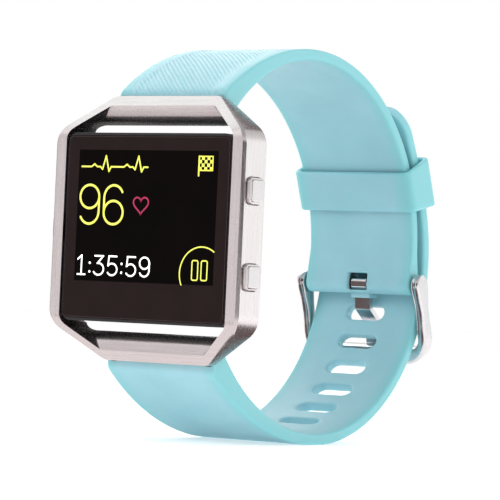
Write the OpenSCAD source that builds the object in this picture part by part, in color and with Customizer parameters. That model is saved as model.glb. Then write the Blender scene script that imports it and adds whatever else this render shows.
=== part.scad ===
// Fitness tracker band: an octagonal steel frame holds a square tracker module,
// and a two-piece silicone strap closes in a loop behind it with a pin buckle.
// The display faces -Y, +Z is the 12 o'clock side and +X is the two-button side.
// Everything is laid out from the centre of the frame's front face, then moved so
// that the origin is below the middle of the loop, on the surface it stands on.

/* [Frame] */
// Width of the frame's front ring
frame_w = 44.9; // [44:0.1:46]
// Height of the frame's front ring, end to end
frame_h = 51.3; // [51:0.1:52]
// Length of each straight side of the front ring
side_len = 36.9; // [36:0.1:37.5]
// Length of the straight edge at each end of the ring
end_len = 25.2; // [24.5:0.1:26]
// Depth of the frame's side walls
wall_d = 6.9; // [6.5:0.1:7.2]
// How far the ring's ends fold back behind its front plane
fold_d = 5.4; // [5.2:0.1:5.6]
// Bevel between the front ring and the side walls
bevel = 0.55; // [0.4:0.05:0.7]

/* [Tracker] */
// Width of the tracker's case
case_w = 40.0; // [39.6:0.1:40.1]
// Height of the tracker's case
case_h = 36.4; // [36:0.1:36.8]
// Depth at which the tracker's case ends and its back cover starts
case_back = 9.0; // [8.8:0.1:9.4]
// Width of the display's lit area
screen_w = 33.73; // [33:0.01:34.5]
// Height of the display's lit area
screen_h = 25.3; // [25:0.1:26]
// Height of the lit area's centre above the case's centre
screen_up = 2.2; // [1.8:0.1:2.4]

/* [Buttons] */
// Height of the upper right button above the centre
upper_key_z = 7.6; // [6.5:0.1:9]
// Height of the lower right button (below the centre)
lower_key_z = -8.6; // [-9.5:0.1:-6.5]
// Height of the left button
left_key_z = -0.3; // [-2:0.1:2]
// Travel of a button
key_travel = 0.4; // [0.3:0.05:0.4]

/* [Strap] */
// Width of the strap
strap_w = 26; // [25:0.1:26]
// Thickness of the strap away from the frame
strap_t = 2.2; // [2:0.1:2.3]
// Number of adjustment slots
slot_count = 6; // [4:1:6]
// Length of an adjustment slot across the strap
slot_len = 9.3; // [8:0.1:10]
// Width of an adjustment slot along the strap
slot_wid = 3.4; // [3.3:0.1:3.6]
// Angle between two slots, seen from the centre of the strap's bend
slot_step = 10.6; // [10:0.1:11]

/* [Buckle] */
// Length of the buckle from its spring bar to its far bar
buckle_len = 15.0; // [14.5:0.1:15.5]
// Outer width of the buckle
buckle_w = 30.8; // [30.4:0.1:31.4]
// Height of the keeper along the strap
keeper_len = 9.2; // [8:0.1:10]
// Thickness of the keeper's wall
keeper_t = 1.2; // [1:0.1:1.3]

/* [Hidden] */
$fn = 64;
eps = 0.01;

steel = [0.78, 0.76, 0.74];
black = [0.07, 0.06, 0.06];
silicone = [0.59, 0.80, 0.85];

// Frame: the front ring and the inner opening, in (x, z)
ring_t = 2.27;              // width of the ring along the sides
end_t = 1.95;               // width of the ring at its ends
open_w = frame_w - 2 * ring_t;
open_h = frame_h - 2 * end_t;
open_side = 36.6;           // straight side of the opening
corner_r = 3.5;             // rounding of the eight corners
fold_z = side_len / 2;
fold_slope = fold_d / (frame_h / 2 - fold_z);
fold_in = (open_h / 2 - fold_z) * fold_slope;   // depth of the opening's end edges
plate_half = 16.6;          // half the width of the plates at the opening's ends
plate_y = 6.8;              // the edge of each plate, beside the tracker
plate_z = 20.0;
plate_t = 0.65;

// Lugs: spring bar holes hidden between the frame and the strap
lug_y = 9.0;
lug_z = 25.4;
lug_r = 1.45;
lug_x = 11.0;
lug_t = 1.1;
lug_play = 0.15;
neck_angle = 212;           // the necks run down into the frame's ends
neck_len = 3.6;

// Spring bars
bar_r = 0.75;
bar_bore = 0.52;
tip_r = 0.42;
pin_shift = 1.4;            // travel of the quick release pin
knob_x = 6.0;               // place of the release knob along the bar

// Strap bends, as circles in the (y, z) plane
top_y = 36.5;               // where the upper strap is highest
top_z = 37.2;
top_front_r = 46.8;         // outer face between the frame and the top
top_inner_r = 35.5;         // inner face there, closer towards the top
top_back_r = 38.6;          // outer face between the top and the buckle
low_y = 42;                 // where the lower strap is lowest
low_z = -41;
stand_flat = 0.1;           // depth of the flat on which the strap stands
low_front_r = 52;
low_inner_r = 40.3;
low_back_r = 37.6;
back_c = [low_y, low_z + low_back_r];     // centre of the bend with the slots
loop_c = [top_y, top_z - top_back_r];     // centre of the bend under the keeper
tail_r = 110;               // bend of the free tail
tail_from = 20;             // angle at which the tail leaves the bend
tail_angle = 11;
tip_z = 28.4;               // height of the tail's tip
tip_corner_r = 7;
nose_up_r = 2.3;            // rounded end at the upper lug
nose_low_r = 2.6;
slot_from = -17.8;          // angle of the slot that the tang is in

// Buckle
hinge_y = 73.9;             // the buckle's spring bar
hinge_z = -8.2;
end_r = 2.1;                // rounded end of the upper strap
window_w = 4.9;             // opening for the tang in that end
lean = 15.5;                // lean of the buckle from the vertical
arm_r = 2.3;
arm_t = 1.9;
far_r = 1.8;
outer_corner_r = 5.5;
inner_corner_r = 2.0;
tang_w = 3.7;
tang_t = 1.0;
eye_r = 1.35;

// Keeper
keeper_at = 20.2;           // its angle on the bend
keeper_gap = 0.3;
keeper_side_gap = 0.35;
keeper_in_r = top_back_r - strap_t - keeper_gap;
keeper_out_r = 42.95;       // clears the free tail over its travel
keeper_half = strap_w / 2 + keeper_side_gap;
keeper_angle = keeper_len / top_back_r * 180 / PI;

// Tracker
glass_w = case_w - 0.7;
glass_h = case_h - 1.1;
glass_front = 0.15;
glass_t = 1.0;
rim_front = 0.45;
case_wall = 1.4;
gasket_t = 0.2;
shelf_y = glass_front + glass_t + gasket_t;
panel_t = 1.4;
case_r = 2.2;
cover_back = case_back + 1.4;
seal_t = 0.2;
window_r = 6.5;
key_y = 3.5;                // depth of the button axes
groove_d = 1.0;             // grooves that let the case slide out past the button stems
groove_w = 5.2;
key_r = 1.5;
key_face = case_w / 2 - 0.3;
plunger_x = 17.85;          // tip of a switch's plunger
key_end = plunger_x + key_travel + 0.05;
screw_x = 16.6;
screw_z = 14.8;
boss_y = 5.2;               // where the screw bosses start

// Buttons
stem_r = 0.95;
button_len = 5.0;
button_wid = 4.6;
button_out = 1.05;
button_in = 0.45;           // how far the cap reaches into its pocket
pocket_d = 0.9;
well_r = 1.75;              // seat of the return spring, below the pocket
well_d = 2.3;
stem_tip = key_face + 0.06;
wall_x = frame_w / 2 + bevel;

// Shift from the frame's front centre to the part's origin
origin_y = 40.5;
origin_z = -low_z - stand_flat;

function unit(v) = v / norm(v);
function polar(c, r, a) = c + r * [cos(a), sin(a)];

// Points round a convex outline with its corners rounded to radius r
function rounded(pts, r, steps = 6) = [
    for (i = [0 : len(pts) - 1])
        let (p = pts[i], a = pts[(i + len(pts) - 1) % len(pts)], b = pts[(i + 1) % len(pts)],
            u = unit(a - p), w = unit(b - p), half = acos(u * w) / 2,
            c = p + unit(u + w) * r / sin(half),
            start = atan2((p + u * r / tan(half) - c)[1], (p + u * r / tan(half) - c)[0]),
            turn = 180 - 2 * half)
        for (k = [0 : steps]) polar(c, r, start + turn * k / steps)];

// An eight-sided outline with w x h over all and straight sides of the given lengths
function octagon(w, h, side, end) = [[w / 2, -side / 2], [w / 2, side / 2], [end / 2, h / 2],
    [-end / 2, h / 2], [-w / 2, side / 2], [-w / 2, -side / 2], [-end / 2, -h / 2], [end / 2, -h / 2]];

// Depth of the folded front face at height z
function front_y(z) = max(0, abs(z) - fold_z) * fold_slope;

// Exact rounded rectangle: a cross of two rectangles and four discs
module round_rect(w, h, r) {
    square([w - 2 * r, h], center = true);
    square([w, h - 2 * r], center = true);
    for (sx = [-1, 1], sy = [-1, 1])
        translate([sx * (w / 2 - r), sy * (h / 2 - r)]) circle(r);
}

// Extrude an (x, z) outline along Y, from y0 to y1
module along_y(y0, y1) {
    translate([0, y1, 0]) rotate([90, 0, 0]) linear_extrude(y1 - y0) children();
}

// Extrude a (y, z) outline along X, from x0 to x1
module along_x(x0, x1) {
    translate([x0, 0, 0]) rotate([90, 0, 90]) linear_extrude(x1 - x0) children();
}

// A rod along X
module rod(x0, x1, y, z, r) {
    translate([x0, y, z]) rotate([0, 90, 0]) cylinder(r = r, h = x1 - x0);
}

// A rod along Y
module post(y0, y1, x, z, r) {
    translate([x, y1, z]) rotate([90, 0, 0]) cylinder(r = r, h = y1 - y0);
}

// A ring sector in the (y, z) plane
module sector(c, r_in, r_out, a0, a1) {
    reach = r_out * 2;
    steps = ceil((a1 - a0) / 60);
    intersection() {
        translate(c) difference() {
            circle(r_out, $fn = 180);
            circle(r_in, $fn = 180);
        }
        polygon(concat([c], [for (k = [0 : steps]) polar(c, reach, a0 + (a1 - a0) * k / steps)]));
    }
}

// Place a button's part, drawn towards +X, on the right side (1) or the left side (-1)
module on_side(side, z) {
    translate([0, key_y, z]) rotate([0, 0, side > 0 ? 0 : 180]) children();
}

// Move from the frame's front centre to the part's origin
module placed() {
    translate([0, -origin_y, origin_z]) children();
}

// ---- Frame ----

// The solid block of the frame: three outlines, each a step further back
module frame_block() {
    ring = rounded(octagon(frame_w, frame_h, side_len, end_len), corner_r);
    wall = rounded(octagon(frame_w + 2 * bevel, frame_h, side_len, end_len + bevel), corner_r);
    front = [for (p = ring) [p[0], front_y(p[1]), p[1]]];
    step = [for (p = wall) [p[0], front_y(p[1]) + bevel, p[1]]];
    back = [for (p = wall) [p[0], wall_d, p[1]]];
    all = concat(front, step, back);
    hull() polyhedron(points = all, faces = [for (i = [1 : len(all) - 2]) [0, i, i + 1]]);
}

// One end plate: steep behind the opening's end edge, then curving back to its own edge
module end_plate() {
    from = [fold_in, open_h / 2];
    to = [plate_y, plate_z];
    steep = from + [0.4, -2.5];
    curve = [for (k = [0 : 8]) let (u = k / 8) (1 - u) ^ 2 * from + 2 * u * (1 - u) * steep + u ^ 2 * to];
    behind = frame_h / 2 - 0.2;
    along_x(-plate_half, plate_half)
        polygon(concat(curve, [[wall_d, plate_z + plate_t], [wall_d, behind], [fold_d + 0.3, behind]]));
}

// A lug with its neck, behind the ring's end
module lug(x0) {
    difference() {
        union() {
            rod(x0, x0 + lug_t, lug_y, lug_z, lug_r);
            along_x(x0, x0 + lug_t) neck_shape(1.15);
        }
        rod(x0 - 1, x0 + lug_t + 1, lug_y, lug_z, tip_r + 0.05);
    }
}

module neck_shape(half) {
    translate([lug_y, lug_z]) rotate(neck_angle) translate([0, -half]) square([neck_len, 2 * half]);
}

module frame_end() {
    intersection() {
        end_plate();
        along_y(-1, 20) polygon(rounded(octagon(frame_w, frame_h, side_len, end_len), corner_r));
    }
    lug(lug_x);
    lug(-lug_x - lug_t);
}

// The stem's hole, the spring's well and the cap's pocket in a side wall
module key_hole(side, z) {
    on_side(side, z) {
        rod(open_w / 2 - 1, wall_x + 1, 0, 0, stem_r + 0.05);
        rod(wall_x - well_d, wall_x + 1, 0, 0, well_r);
        along_x(wall_x - pocket_d, wall_x + 1)
            round_rect(button_wid + 0.2, button_len + 0.2, 1.1);
    }
}

module frame_ring() {
    color(steel) placed() difference() {
        union() {
            difference() {
                frame_block();
                along_y(-1, 20)
                    polygon(octagon(open_w, open_h, open_side, end_len - 0.1));
            }
            frame_end();
            mirror([0, 0, 1]) frame_end();
        }
        key_hole(1, upper_key_z);
        key_hole(1, lower_key_z);
        key_hole(-1, left_key_z);
    }
}

// ---- Buttons ----

// A button: a bevelled cap on a stem that passes through the wall
module button(side, z) {
    color(steel) placed() on_side(side, z) {
        along_x(wall_x - button_in, wall_x + button_out - 0.35) round_rect(button_wid, button_len, 1);
        along_x(wall_x, wall_x + button_out) round_rect(button_wid - 0.7, button_len - 0.7, 0.8);
        rod(stem_tip, wall_x, 0, 0, stem_r);
    }
}

module clip(side, z) {
    color([0.5, 0.5, 0.52]) placed() on_side(side, z)
        difference() {
            rod(open_w / 2 - 0.35, open_w / 2 - 0.1, 0, 0, 1.6);
            rod(open_w / 2 - 1, open_w / 2 + 1, 0, 0, stem_r);
            translate([open_w / 2 - 1, 0, -0.6]) cube([2, 3, 1.2]);
        }
}

// A return spring, drawn as its turns, between the well's floor and the cap
module button_spring(side, z) {
    turns = 4;
    pitch = (well_d - button_in) / turns;
    color([0.6, 0.6, 0.6]) placed() on_side(side, z)
        for (k = [0 : turns - 1])
            translate([wall_x - well_d + pitch * (k + 0.5), 0, 0]) rotate([0, 90, 0])
                rotate_extrude() translate([1.35, 0]) circle(0.13, $fn = 16);
}

module upper_right_button() { button(1, upper_key_z); }
module lower_right_button() { button(1, lower_key_z); }
module left_button() { button(-1, left_key_z); }
module upper_right_clip() { clip(1, upper_key_z); }
module lower_right_clip() { clip(1, lower_key_z); }
module left_clip() { clip(-1, left_key_z); }
module upper_right_spring() { button_spring(1, upper_key_z); }
module lower_right_spring() { button_spring(1, lower_key_z); }
module left_spring() { button_spring(-1, left_key_z); }

// ---- Tracker ----

// The groove beside a key and the key's hole
module key_groove(side, z) {
    on_side(side, z) {
        translate([case_w / 2 - groove_d, -key_y - 1, -groove_w / 2])
            cube([groove_d + 1, case_back + 3, groove_w]);
        rod(15, case_w / 2, 0, 0, key_r + 0.05);
    }
}

// The case's cavity, with a boss left in each corner for a screw
module case_cavity() {
    w = case_w - 2 * case_wall;
    h = case_h - 2 * case_wall;
    along_y(-1, boss_y) round_rect(w, h, 1.2);
    along_y(boss_y - eps, case_back + 1) difference() {
        round_rect(w, h, 1.2);
        for (sx = [-1, 1], sz = [-1, 1])
            translate([sx * (screw_x + 1), sz * (screw_z + 1)]) square(4.4, center = true);
    }
}

module tracker_case() {
    color(black) placed() difference() {
        along_y(rim_front, case_back) round_rect(case_w, case_h, case_r);
        along_y(-1, shelf_y) round_rect(glass_w + 0.1, glass_h + 0.1, 1.2);
        case_cavity();
        for (sx = [-1, 1], sz = [-1, 1]) post(boss_y - 1, 20, sx * screw_x, sz * screw_z, 0.52);
        key_groove(1, upper_key_z);
        key_groove(1, lower_key_z);
        key_groove(-1, left_key_z);
    }
}

module cover_glass() {
    color([0.05, 0.04, 0.04]) placed()
        along_y(glass_front, glass_front + glass_t) round_rect(glass_w, glass_h, 1.1);
}

module cover_gasket() {
    color([0.2, 0.2, 0.2]) placed() along_y(glass_front + glass_t, shelf_y) difference() {
        round_rect(glass_w - 0.2, glass_h - 0.2, 1);
        round_rect(glass_w - 2, glass_h - 2, 1);
    }
}

module display_panel() {
    color([0.1, 0.1, 0.12]) placed() translate([0, 0, screen_up - 1.6])
        along_y(shelf_y, shelf_y + panel_t) square([screen_w + 1.5, screen_h + 5.1], center = true);
}

module circuit_board() {
    color([0.05, 0.3, 0.15]) placed() {
        along_y(3.1, 3.9) square([32.8, 29], center = true);
        translate([4, 0, 11]) along_y(3.85, 4.9) square([9, 5], center = true);
        translate([-6, 0, -14.3]) along_y(3.85, 4.7) square([14, 0.4], center = true);
    }
}

module battery() {
    color([0.75, 0.75, 0.78]) placed() translate([0, 0, -3.2])
        along_y(4.1, 7.8) round_rect(27, 21, 0.8);
}

module vibration_motor() {
    color([0.7, 0.7, 0.7]) placed() post(4.1, 6.8, -9, 12, 4);
}

// A side-push switch on the edge of the board, with its plunger
module edge_switch(side, z) {
    color([0.85, 0.85, 0.8]) placed() on_side(side, z) {
        translate([16.5, -0.65, -1.6]) cube([1.0, 1.3, 3.2]);
        rod(17.4, plunger_x, 0, 0, 0.5);
    }
}

// A soft key that passes the button's push to its switch
module soft_key(side, z) {
    color([0.15, 0.15, 0.15]) placed() on_side(side, z) {
        rod(key_end + 0.2, key_face, 0, 0, key_r);
        rod(key_end, key_end + 0.25, 0, 0, key_r + 0.35);
    }
}

module upper_right_switch() { edge_switch(1, upper_key_z); }
module lower_right_switch() { edge_switch(1, lower_key_z); }
module left_switch() { edge_switch(-1, left_key_z); }
module upper_right_key() { soft_key(1, upper_key_z); }
module lower_right_key() { soft_key(1, lower_key_z); }
module left_key() { soft_key(-1, left_key_z); }

module sensor_board() {
    color([0.05, 0.3, 0.15]) placed() post(8.0, 8.6, 0, 0, 6);
}

module sensor_leds() {
    color([0.2, 0.9, 0.3]) placed() for (sx = [-1, 1])
        translate([3.2 * sx, 0, 0]) along_y(8.6, 9.3) square([1.6, 1.6], center = true);
}

module photodiode() {
    color([0.1, 0.1, 0.2]) placed() along_y(8.6, 9.3) square([2.6, 2.6], center = true);
}

// The clear lens over the pulse sensor, slightly proud of the back cover
module sensor_window() {
    color([0.1, 0.1, 0.1]) placed() {
        post(case_back + 0.5, cover_back + 0.3, 0, 0, window_r);
        post(cover_back + 0.25, cover_back + 0.6, 0, 0, window_r - 1.2);
    }
}

module back_seal() {
    color([0.25, 0.25, 0.25]) placed() along_y(case_back, case_back + seal_t) difference() {
        round_rect(case_w - 2.2, case_h - 1.2, 1.6);
        round_rect(case_w - 3.2, case_h - 2.4, 1.2);
    }
}

module back_cover() {
    color([0.09, 0.09, 0.1]) placed() difference() {
        along_y(case_back + seal_t, cover_back) round_rect(case_w - 2.4, case_h - 0.4, 2);
        post(0, 20, 0, 0, window_r + 0.05);
        for (sx = [-1, 1], sz = [-1, 1]) {
            post(0, 20, sx * screw_x, sz * screw_z, 0.55);
            post(cover_back - 0.6, 20, sx * screw_x, sz * screw_z, 1.05);
        }
        for (sx = [-1, 1]) post(0, 20, 4 * sx, -12.5, 1.35);
    }
}

module charge_contacts() {
    color([0.85, 0.7, 0.35]) placed() for (sx = [-1, 1])
        post(case_back + 0.1, cover_back + 0.05, 4 * sx, -12.5, 1.3);
}

module cover_screws() {
    color([0.6, 0.6, 0.62]) placed() for (sx = [-1, 1], sz = [-1, 1]) difference() {
        union() {
            post(7.4, cover_back - 0.3, sx * screw_x, sz * screw_z, 0.5);
            post(cover_back - 0.6, cover_back - 0.05, sx * screw_x, sz * screw_z, 1.0);
        }
        translate([0, cover_back - 0.35, 0]) rotate([90, 0, 0]) mirror([0, 0, 1])
            translate([sx * screw_x, sz * screw_z, 0]) cylinder(r = 0.45, h = 1, $fn = 6);
    }
}

// ---- Straps ----

// Pockets for the lugs in a strap's end, closed by a thin skin at its sides
module lug_notch() {
    for (side = [-1, 1]) {
        x0 = side * (lug_x + lug_t / 2) - lug_t / 2 - lug_play;
        x1 = x0 + lug_t + 2 * lug_play;
        rod(x0, x1, lug_y, lug_z, lug_r + 0.25);
        along_x(x0, x1) neck_shape(1.4);
    }
}

// The release knob's slot, open to the strap's inner face
module knob_slot() {
    translate([knob_x - pin_shift - 0.8, lug_y - 0.6, lug_z - 3.6])
        cube([pin_shift + 1.6, 1.2, 3.6]);
}

// The flat at a strap's end, where it lies against the back of the frame
module frame_flat() {
    translate([-strap_w, 0, -frame_h]) cube([2 * strap_w, wall_d + 0.05, 2 * frame_h]);
}

module upper_profile() {
    front_c = [top_y, top_z - top_front_r];
    lug = [lug_y, lug_z];
    inner_c = [top_y, top_z - strap_t - top_inner_r];
    reach = front_c + 1.3 * (lug - front_c);
    intersection() {
        difference() {
            translate(front_c) circle(top_front_r, $fn = 180);
            translate(inner_c) circle(top_inner_r, $fn = 180);
        }
        polygon([front_c, reach, [reach[0], top_z + 5], [top_y, top_z + 5]]);
    }
    translate(lug) circle(nose_up_r);
    sector(loop_c, top_back_r - strap_t, top_back_r, 0, 90);
    polygon([[top_y + top_back_r - strap_t, loop_c[1]], [hinge_y - end_r, hinge_z + 3.2],
        [hinge_y - end_r, hinge_z], [hinge_y + end_r, hinge_z], [hinge_y + end_r, hinge_z + 3.2],
        [top_y + top_back_r, loop_c[1]]]);
    translate([hinge_y, hinge_z]) circle(end_r);
}

module upper_strap() {
    color(silicone) placed() difference() {
        along_x(-strap_w / 2, strap_w / 2) upper_profile();
        rod(-20, 20, lug_y, lug_z, bar_r + 0.05);
        rod(-20, 20, hinge_y, hinge_z, bar_r + 0.05);
        lug_notch();
        knob_slot();
        frame_flat();
        translate([-window_w / 2, hinge_y - 5, hinge_z - 1.4]) cube([window_w, 10, 3.6]);
        translate([-window_w / 2, hinge_y - 0.6, hinge_z - 5]) cube([window_w, 5, 5]);
    }
}

module lower_profile() {
    front_c = [low_y, low_z + low_front_r];
    lug = [lug_y, -lug_z];
    inner_c = [low_y, low_z + strap_t + low_inner_r];
    reach = front_c + 1.3 * (lug - front_c);
    tail_c = polar(back_c, low_back_r - tail_r, tail_from);
    intersection() {
        difference() {
            translate(front_c) circle(low_front_r, $fn = 180);
            translate(inner_c) circle(low_inner_r, $fn = 180);
        }
        polygon([front_c, reach, [reach[0], low_z - 5], [low_y, low_z - 5]]);
    }
    translate(lug) circle(nose_low_r);
    sector(back_c, low_back_r - strap_t, low_back_r, -90, tail_from);
    sector(tail_c, tail_r - strap_t, tail_r, tail_from, tail_from + tail_angle + 1);
}

// A slot through the strap, on the line from the bend's centre at the given angle
module strap_slot(angle) {
    half = (slot_len - slot_wid) / 2;
    translate([0, back_c[0], back_c[1]]) rotate([angle, 0, 0]) {
        for (side = [-1, 1]) post(30, 45, side * half, 0, slot_wid / 2);
        translate([-half, 30, -slot_wid / 2]) cube([2 * half, 15, slot_wid]);
    }
}

module lower_strap() {
    color(silicone) placed() difference() {
        intersection() {
            along_x(-strap_w / 2, strap_w / 2) lower_profile();
            along_y(0, 90) translate([0, tip_z - 40]) round_rect(strap_w, 80, tip_corner_r);
        }
        mirror([0, 0, 1]) {
            rod(-20, 20, lug_y, lug_z, bar_r + 0.05);
            lug_notch();
            knob_slot();
            frame_flat();
        }
        for (k = [0 : slot_count - 1]) strap_slot(slot_from - slot_step * k);
        translate([-20, 0, low_z - 1]) cube([40, 90, 1 + stand_flat]);
    }
}

// ---- Quick release spring bars ----

// Tube with a fixed tip at its -X end and a slot for the release knob
module bar_tube() {
    half = lug_x - 0.4;
    difference() {
        rod(-half, half, lug_y, lug_z, bar_r);
        rod(-half + 3, half + 1, lug_y, lug_z, bar_bore);
        translate([knob_x - pin_shift - 0.5, lug_y - 0.35, lug_z - 2]) cube([pin_shift + 1, 0.7, 2]);
    }
    rod(-lug_x - lug_t, -half + eps, lug_y, lug_z, tip_r);
}

// Sliding pin with its release knob
module bar_pin() {
    rod(knob_x - 0.8, lug_x + lug_t, lug_y, lug_z, tip_r);
    translate([knob_x, lug_y, lug_z - 2.9]) cylinder(r = 0.3, h = 2.9);
    translate([knob_x, lug_y, lug_z - 3.4]) cylinder(r = 0.55, h = 0.9);
}

// The spring inside the tube, drawn as its turns
module bar_spring() {
    x0 = -lug_x + 4.2;
    pitch = (knob_x - 0.8 - x0) / 12;
    for (k = [0 : 11]) translate([x0 + pitch * (k + 0.5), lug_y, lug_z]) rotate([0, 90, 0])
        rotate_extrude() translate([0.36, 0]) circle(0.07, $fn = 16);
}

module upper_bar() { color([0.7, 0.7, 0.72]) placed() bar_tube(); }
module lower_bar() { color([0.7, 0.7, 0.72]) placed() mirror([0, 0, 1]) bar_tube(); }
module upper_bar_pin() { color([0.75, 0.75, 0.77]) placed() bar_pin(); }
module lower_bar_pin() { color([0.75, 0.75, 0.77]) placed() mirror([0, 0, 1]) bar_pin(); }
module upper_bar_spring() { color([0.6, 0.6, 0.6]) placed() bar_spring(); }
module lower_bar_spring() { color([0.6, 0.6, 0.6]) placed() mirror([0, 0, 1]) bar_spring(); }

// ---- Keeper and buckle ----

module keeper_loop() {
    a0 = keeper_at - keeper_angle / 2;
    a1 = keeper_at + keeper_angle / 2;
    outer = keeper_half + keeper_t;
    color(silicone) placed() difference() {
        along_x(-outer, outer) sector(loop_c, keeper_in_r - keeper_t, keeper_out_r + keeper_t, a0, a1);
        along_x(-keeper_half, keeper_half) sector(loop_c, keeper_in_r, keeper_out_r, a0 - 5, a1 + 5);
    }
}

// Outline of the buckle seen along its plate, in (x, distance from the hinge)
module buckle_outline() {
    low = -arm_r;
    high = buckle_len + far_r;
    open_top = buckle_len - far_r;
    difference() {
        translate([0, high - 20]) round_rect(buckle_w, 40, outer_corner_r);
        translate([0, open_top - 20]) round_rect(buckle_w - 2 * arm_t, 40, inner_corner_r);
        translate([-buckle_w, low - 40]) square([2 * buckle_w, 40]);
    }
}

module buckle_frame() {
    color(steel) placed() difference() {
        intersection() {
            translate([0, hinge_y, hinge_z]) rotate([lean, 0, 0]) along_y(-5, 5) mirror([0, 1]) buckle_outline();
            translate([0, hinge_y, hinge_z]) rotate([lean, 0, 0]) {
                rod(-20, 20, 0, 0, arm_r);
                rod(-20, 20, 0, -buckle_len, far_r);
                along_x(-20, 20)
                    polygon([[-arm_r, 0], [arm_r, 0], [far_r, -buckle_len], [-far_r, -buckle_len]]);
            }
        }
        rod(-buckle_w / 2 + 0.5, buckle_w / 2 - 0.5, hinge_y, hinge_z, tip_r + 0.03);
    }
}

// The buckle's spring bar: a tube whose two tips sit in the buckle's arms
module buckle_bar() {
    half = buckle_w / 2 - arm_t;
    color([0.7, 0.7, 0.72]) placed() {
        rod(-half + 0.1, half - 0.1, hinge_y, hinge_z, bar_r);
        rod(-half - 1.2, half + 1.2, hinge_y, hinge_z, tip_r);
    }
}

// The tang: an eye round the bar and a strip that passes through the slot
module buckle_tang() {
    path = [[hinge_y + 0.7, hinge_z - 0.6], [75.15, -13.3], [79.0, -16.4], [80.5, -23.2]];
    half = tang_w / 2;
    color(steel) placed() difference() {
        union() {
            rod(-half, half, hinge_y, hinge_z, eye_r);
            for (k = [0 : len(path) - 2]) along_x(-half, half) strip(path[k], path[k + 1], tang_t);
            for (p = path) rod(-half, half, p[0], p[1], tang_t / 2);
        }
        rod(-5, 5, hinge_y, hinge_z, bar_r + 0.04);
    }
}

// A straight strip between two points in the (y, z) plane
module strip(a, b, t) {
    side = unit([a[1] - b[1], b[0] - a[0]]) * t / 2;
    polygon([a + side, b + side, b - side, a - side]);
}

frame_ring();
tracker_case();
cover_glass();
cover_gasket();
display_panel();
circuit_board();
battery();
vibration_motor();
upper_right_switch();
lower_right_switch();
left_switch();
upper_right_key();
lower_right_key();
left_key();
sensor_board();
sensor_leds();
photodiode();
sensor_window();
back_seal();
back_cover();
charge_contacts();
cover_screws();
upper_right_button();
lower_right_button();
left_button();
upper_right_clip();
lower_right_clip();
left_clip();
upper_right_spring();
lower_right_spring();
left_spring();
upper_strap();
lower_strap();
upper_bar();
lower_bar();
upper_bar_pin();
lower_bar_pin();
upper_bar_spring();
lower_bar_spring();
keeper_loop();
buckle_frame();
buckle_bar();
buckle_tang();
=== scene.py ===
"""Looks of a fitness tracker band: an octagonal steel frame with a square tracker, on a closed silicone strap."""
import math

import bmesh
import bpy
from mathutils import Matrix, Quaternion, Vector


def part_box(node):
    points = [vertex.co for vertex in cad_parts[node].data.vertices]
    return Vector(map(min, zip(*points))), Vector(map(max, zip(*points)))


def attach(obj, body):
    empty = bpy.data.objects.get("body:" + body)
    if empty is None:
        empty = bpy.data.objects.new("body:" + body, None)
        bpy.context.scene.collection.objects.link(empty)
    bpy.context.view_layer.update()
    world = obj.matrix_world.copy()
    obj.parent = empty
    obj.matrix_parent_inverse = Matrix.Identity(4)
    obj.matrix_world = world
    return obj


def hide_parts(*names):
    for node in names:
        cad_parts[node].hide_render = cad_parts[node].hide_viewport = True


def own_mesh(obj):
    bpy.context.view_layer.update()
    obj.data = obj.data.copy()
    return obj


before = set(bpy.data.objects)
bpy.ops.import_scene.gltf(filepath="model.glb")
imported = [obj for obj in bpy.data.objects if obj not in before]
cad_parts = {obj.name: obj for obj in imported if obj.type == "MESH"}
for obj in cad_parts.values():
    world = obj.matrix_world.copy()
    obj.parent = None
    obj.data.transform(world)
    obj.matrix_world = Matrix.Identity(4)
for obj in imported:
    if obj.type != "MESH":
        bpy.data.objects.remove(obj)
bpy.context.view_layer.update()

# Lengths below are in millimetres from the centre of the frame's front face, and angles in degrees.
MM = 0.001
RING_LOW, RING_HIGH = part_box("frame_ring")
FRONT = RING_LOW.y
MIDDLE = (RING_LOW.z + RING_HIGH.z) / 2

# Strap ends at the frame's lugs, and where they lie flat against its back
LUG_Y, LUG_Z = 9.0, 25.4
LUG_X, LUG_T, LUG_R = 11.0, 1.1, 1.4
FLAT_Y = 6.95
# Upper strap
HALF_W = 13.0
THICK = 2.2
TOP_Y, TOP_Z = 36.5, 37.2
TOP_FRONT_R, TOP_INNER_R, TOP_BACK_R = 46.8, 35.5, 38.6
LOOP = (TOP_Y, TOP_Z - TOP_BACK_R)
HINGE = (73.9, -8.2)
END_R = 2.1
# Lower strap
LOW_Y, LOW_Z = 42.0, -41.0
STAND_Z = -40.9
LOW_FRONT_R, LOW_INNER_R, LOW_BACK_R = 52.0, 40.3, 37.6
BACK = (LOW_Y, LOW_Z + LOW_BACK_R)
TAIL_R, TAIL_FROM, TAIL_TO = 110.0, 20.0, 30.62
TIP_CORNER = 7.0
SLOT_FROM, SLOT_STEP, SLOT_COUNT = -17.8, -10.6, 6
SLOT_HALF, SLOT_R = 4.65, 1.7
# Ribs on the upper strap's outer face
RIB_PITCH, RIB_DEPTH, RIB_FIELD, RIB_ROWS = 1.1, 0.17, 9.7, 8
# Rounded edges of the straps
RIM = 0.55


def at(x, y, z):
    """A point given in millimetres from the frame's front centre, in the row frame in metres."""
    return Vector((x * MM, y * MM + FRONT, z * MM + MIDDLE))


def polar(centre, radius, angle):
    """The (y, z) point at that angle and distance from a centre."""
    a = math.radians(angle)
    return centre[0] + radius * math.cos(a), centre[1] + radius * math.sin(a)


def heading(a, b):
    """The angle of the line from a to b."""
    return math.degrees(math.atan2(b[1] - a[1], b[0] - a[0]))


def mix(a, b, u):
    """The point or number a part u of the way from a to b."""
    if isinstance(a, tuple):
        return tuple(mix(p, q, u) for p, q in zip(a, b))
    return a + (b - a) * u


# ---- Meshes ----

def new_object(name, mesh):
    piece = bpy.data.objects.new(name, mesh)
    bpy.context.scene.collection.objects.link(piece)
    return piece


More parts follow.
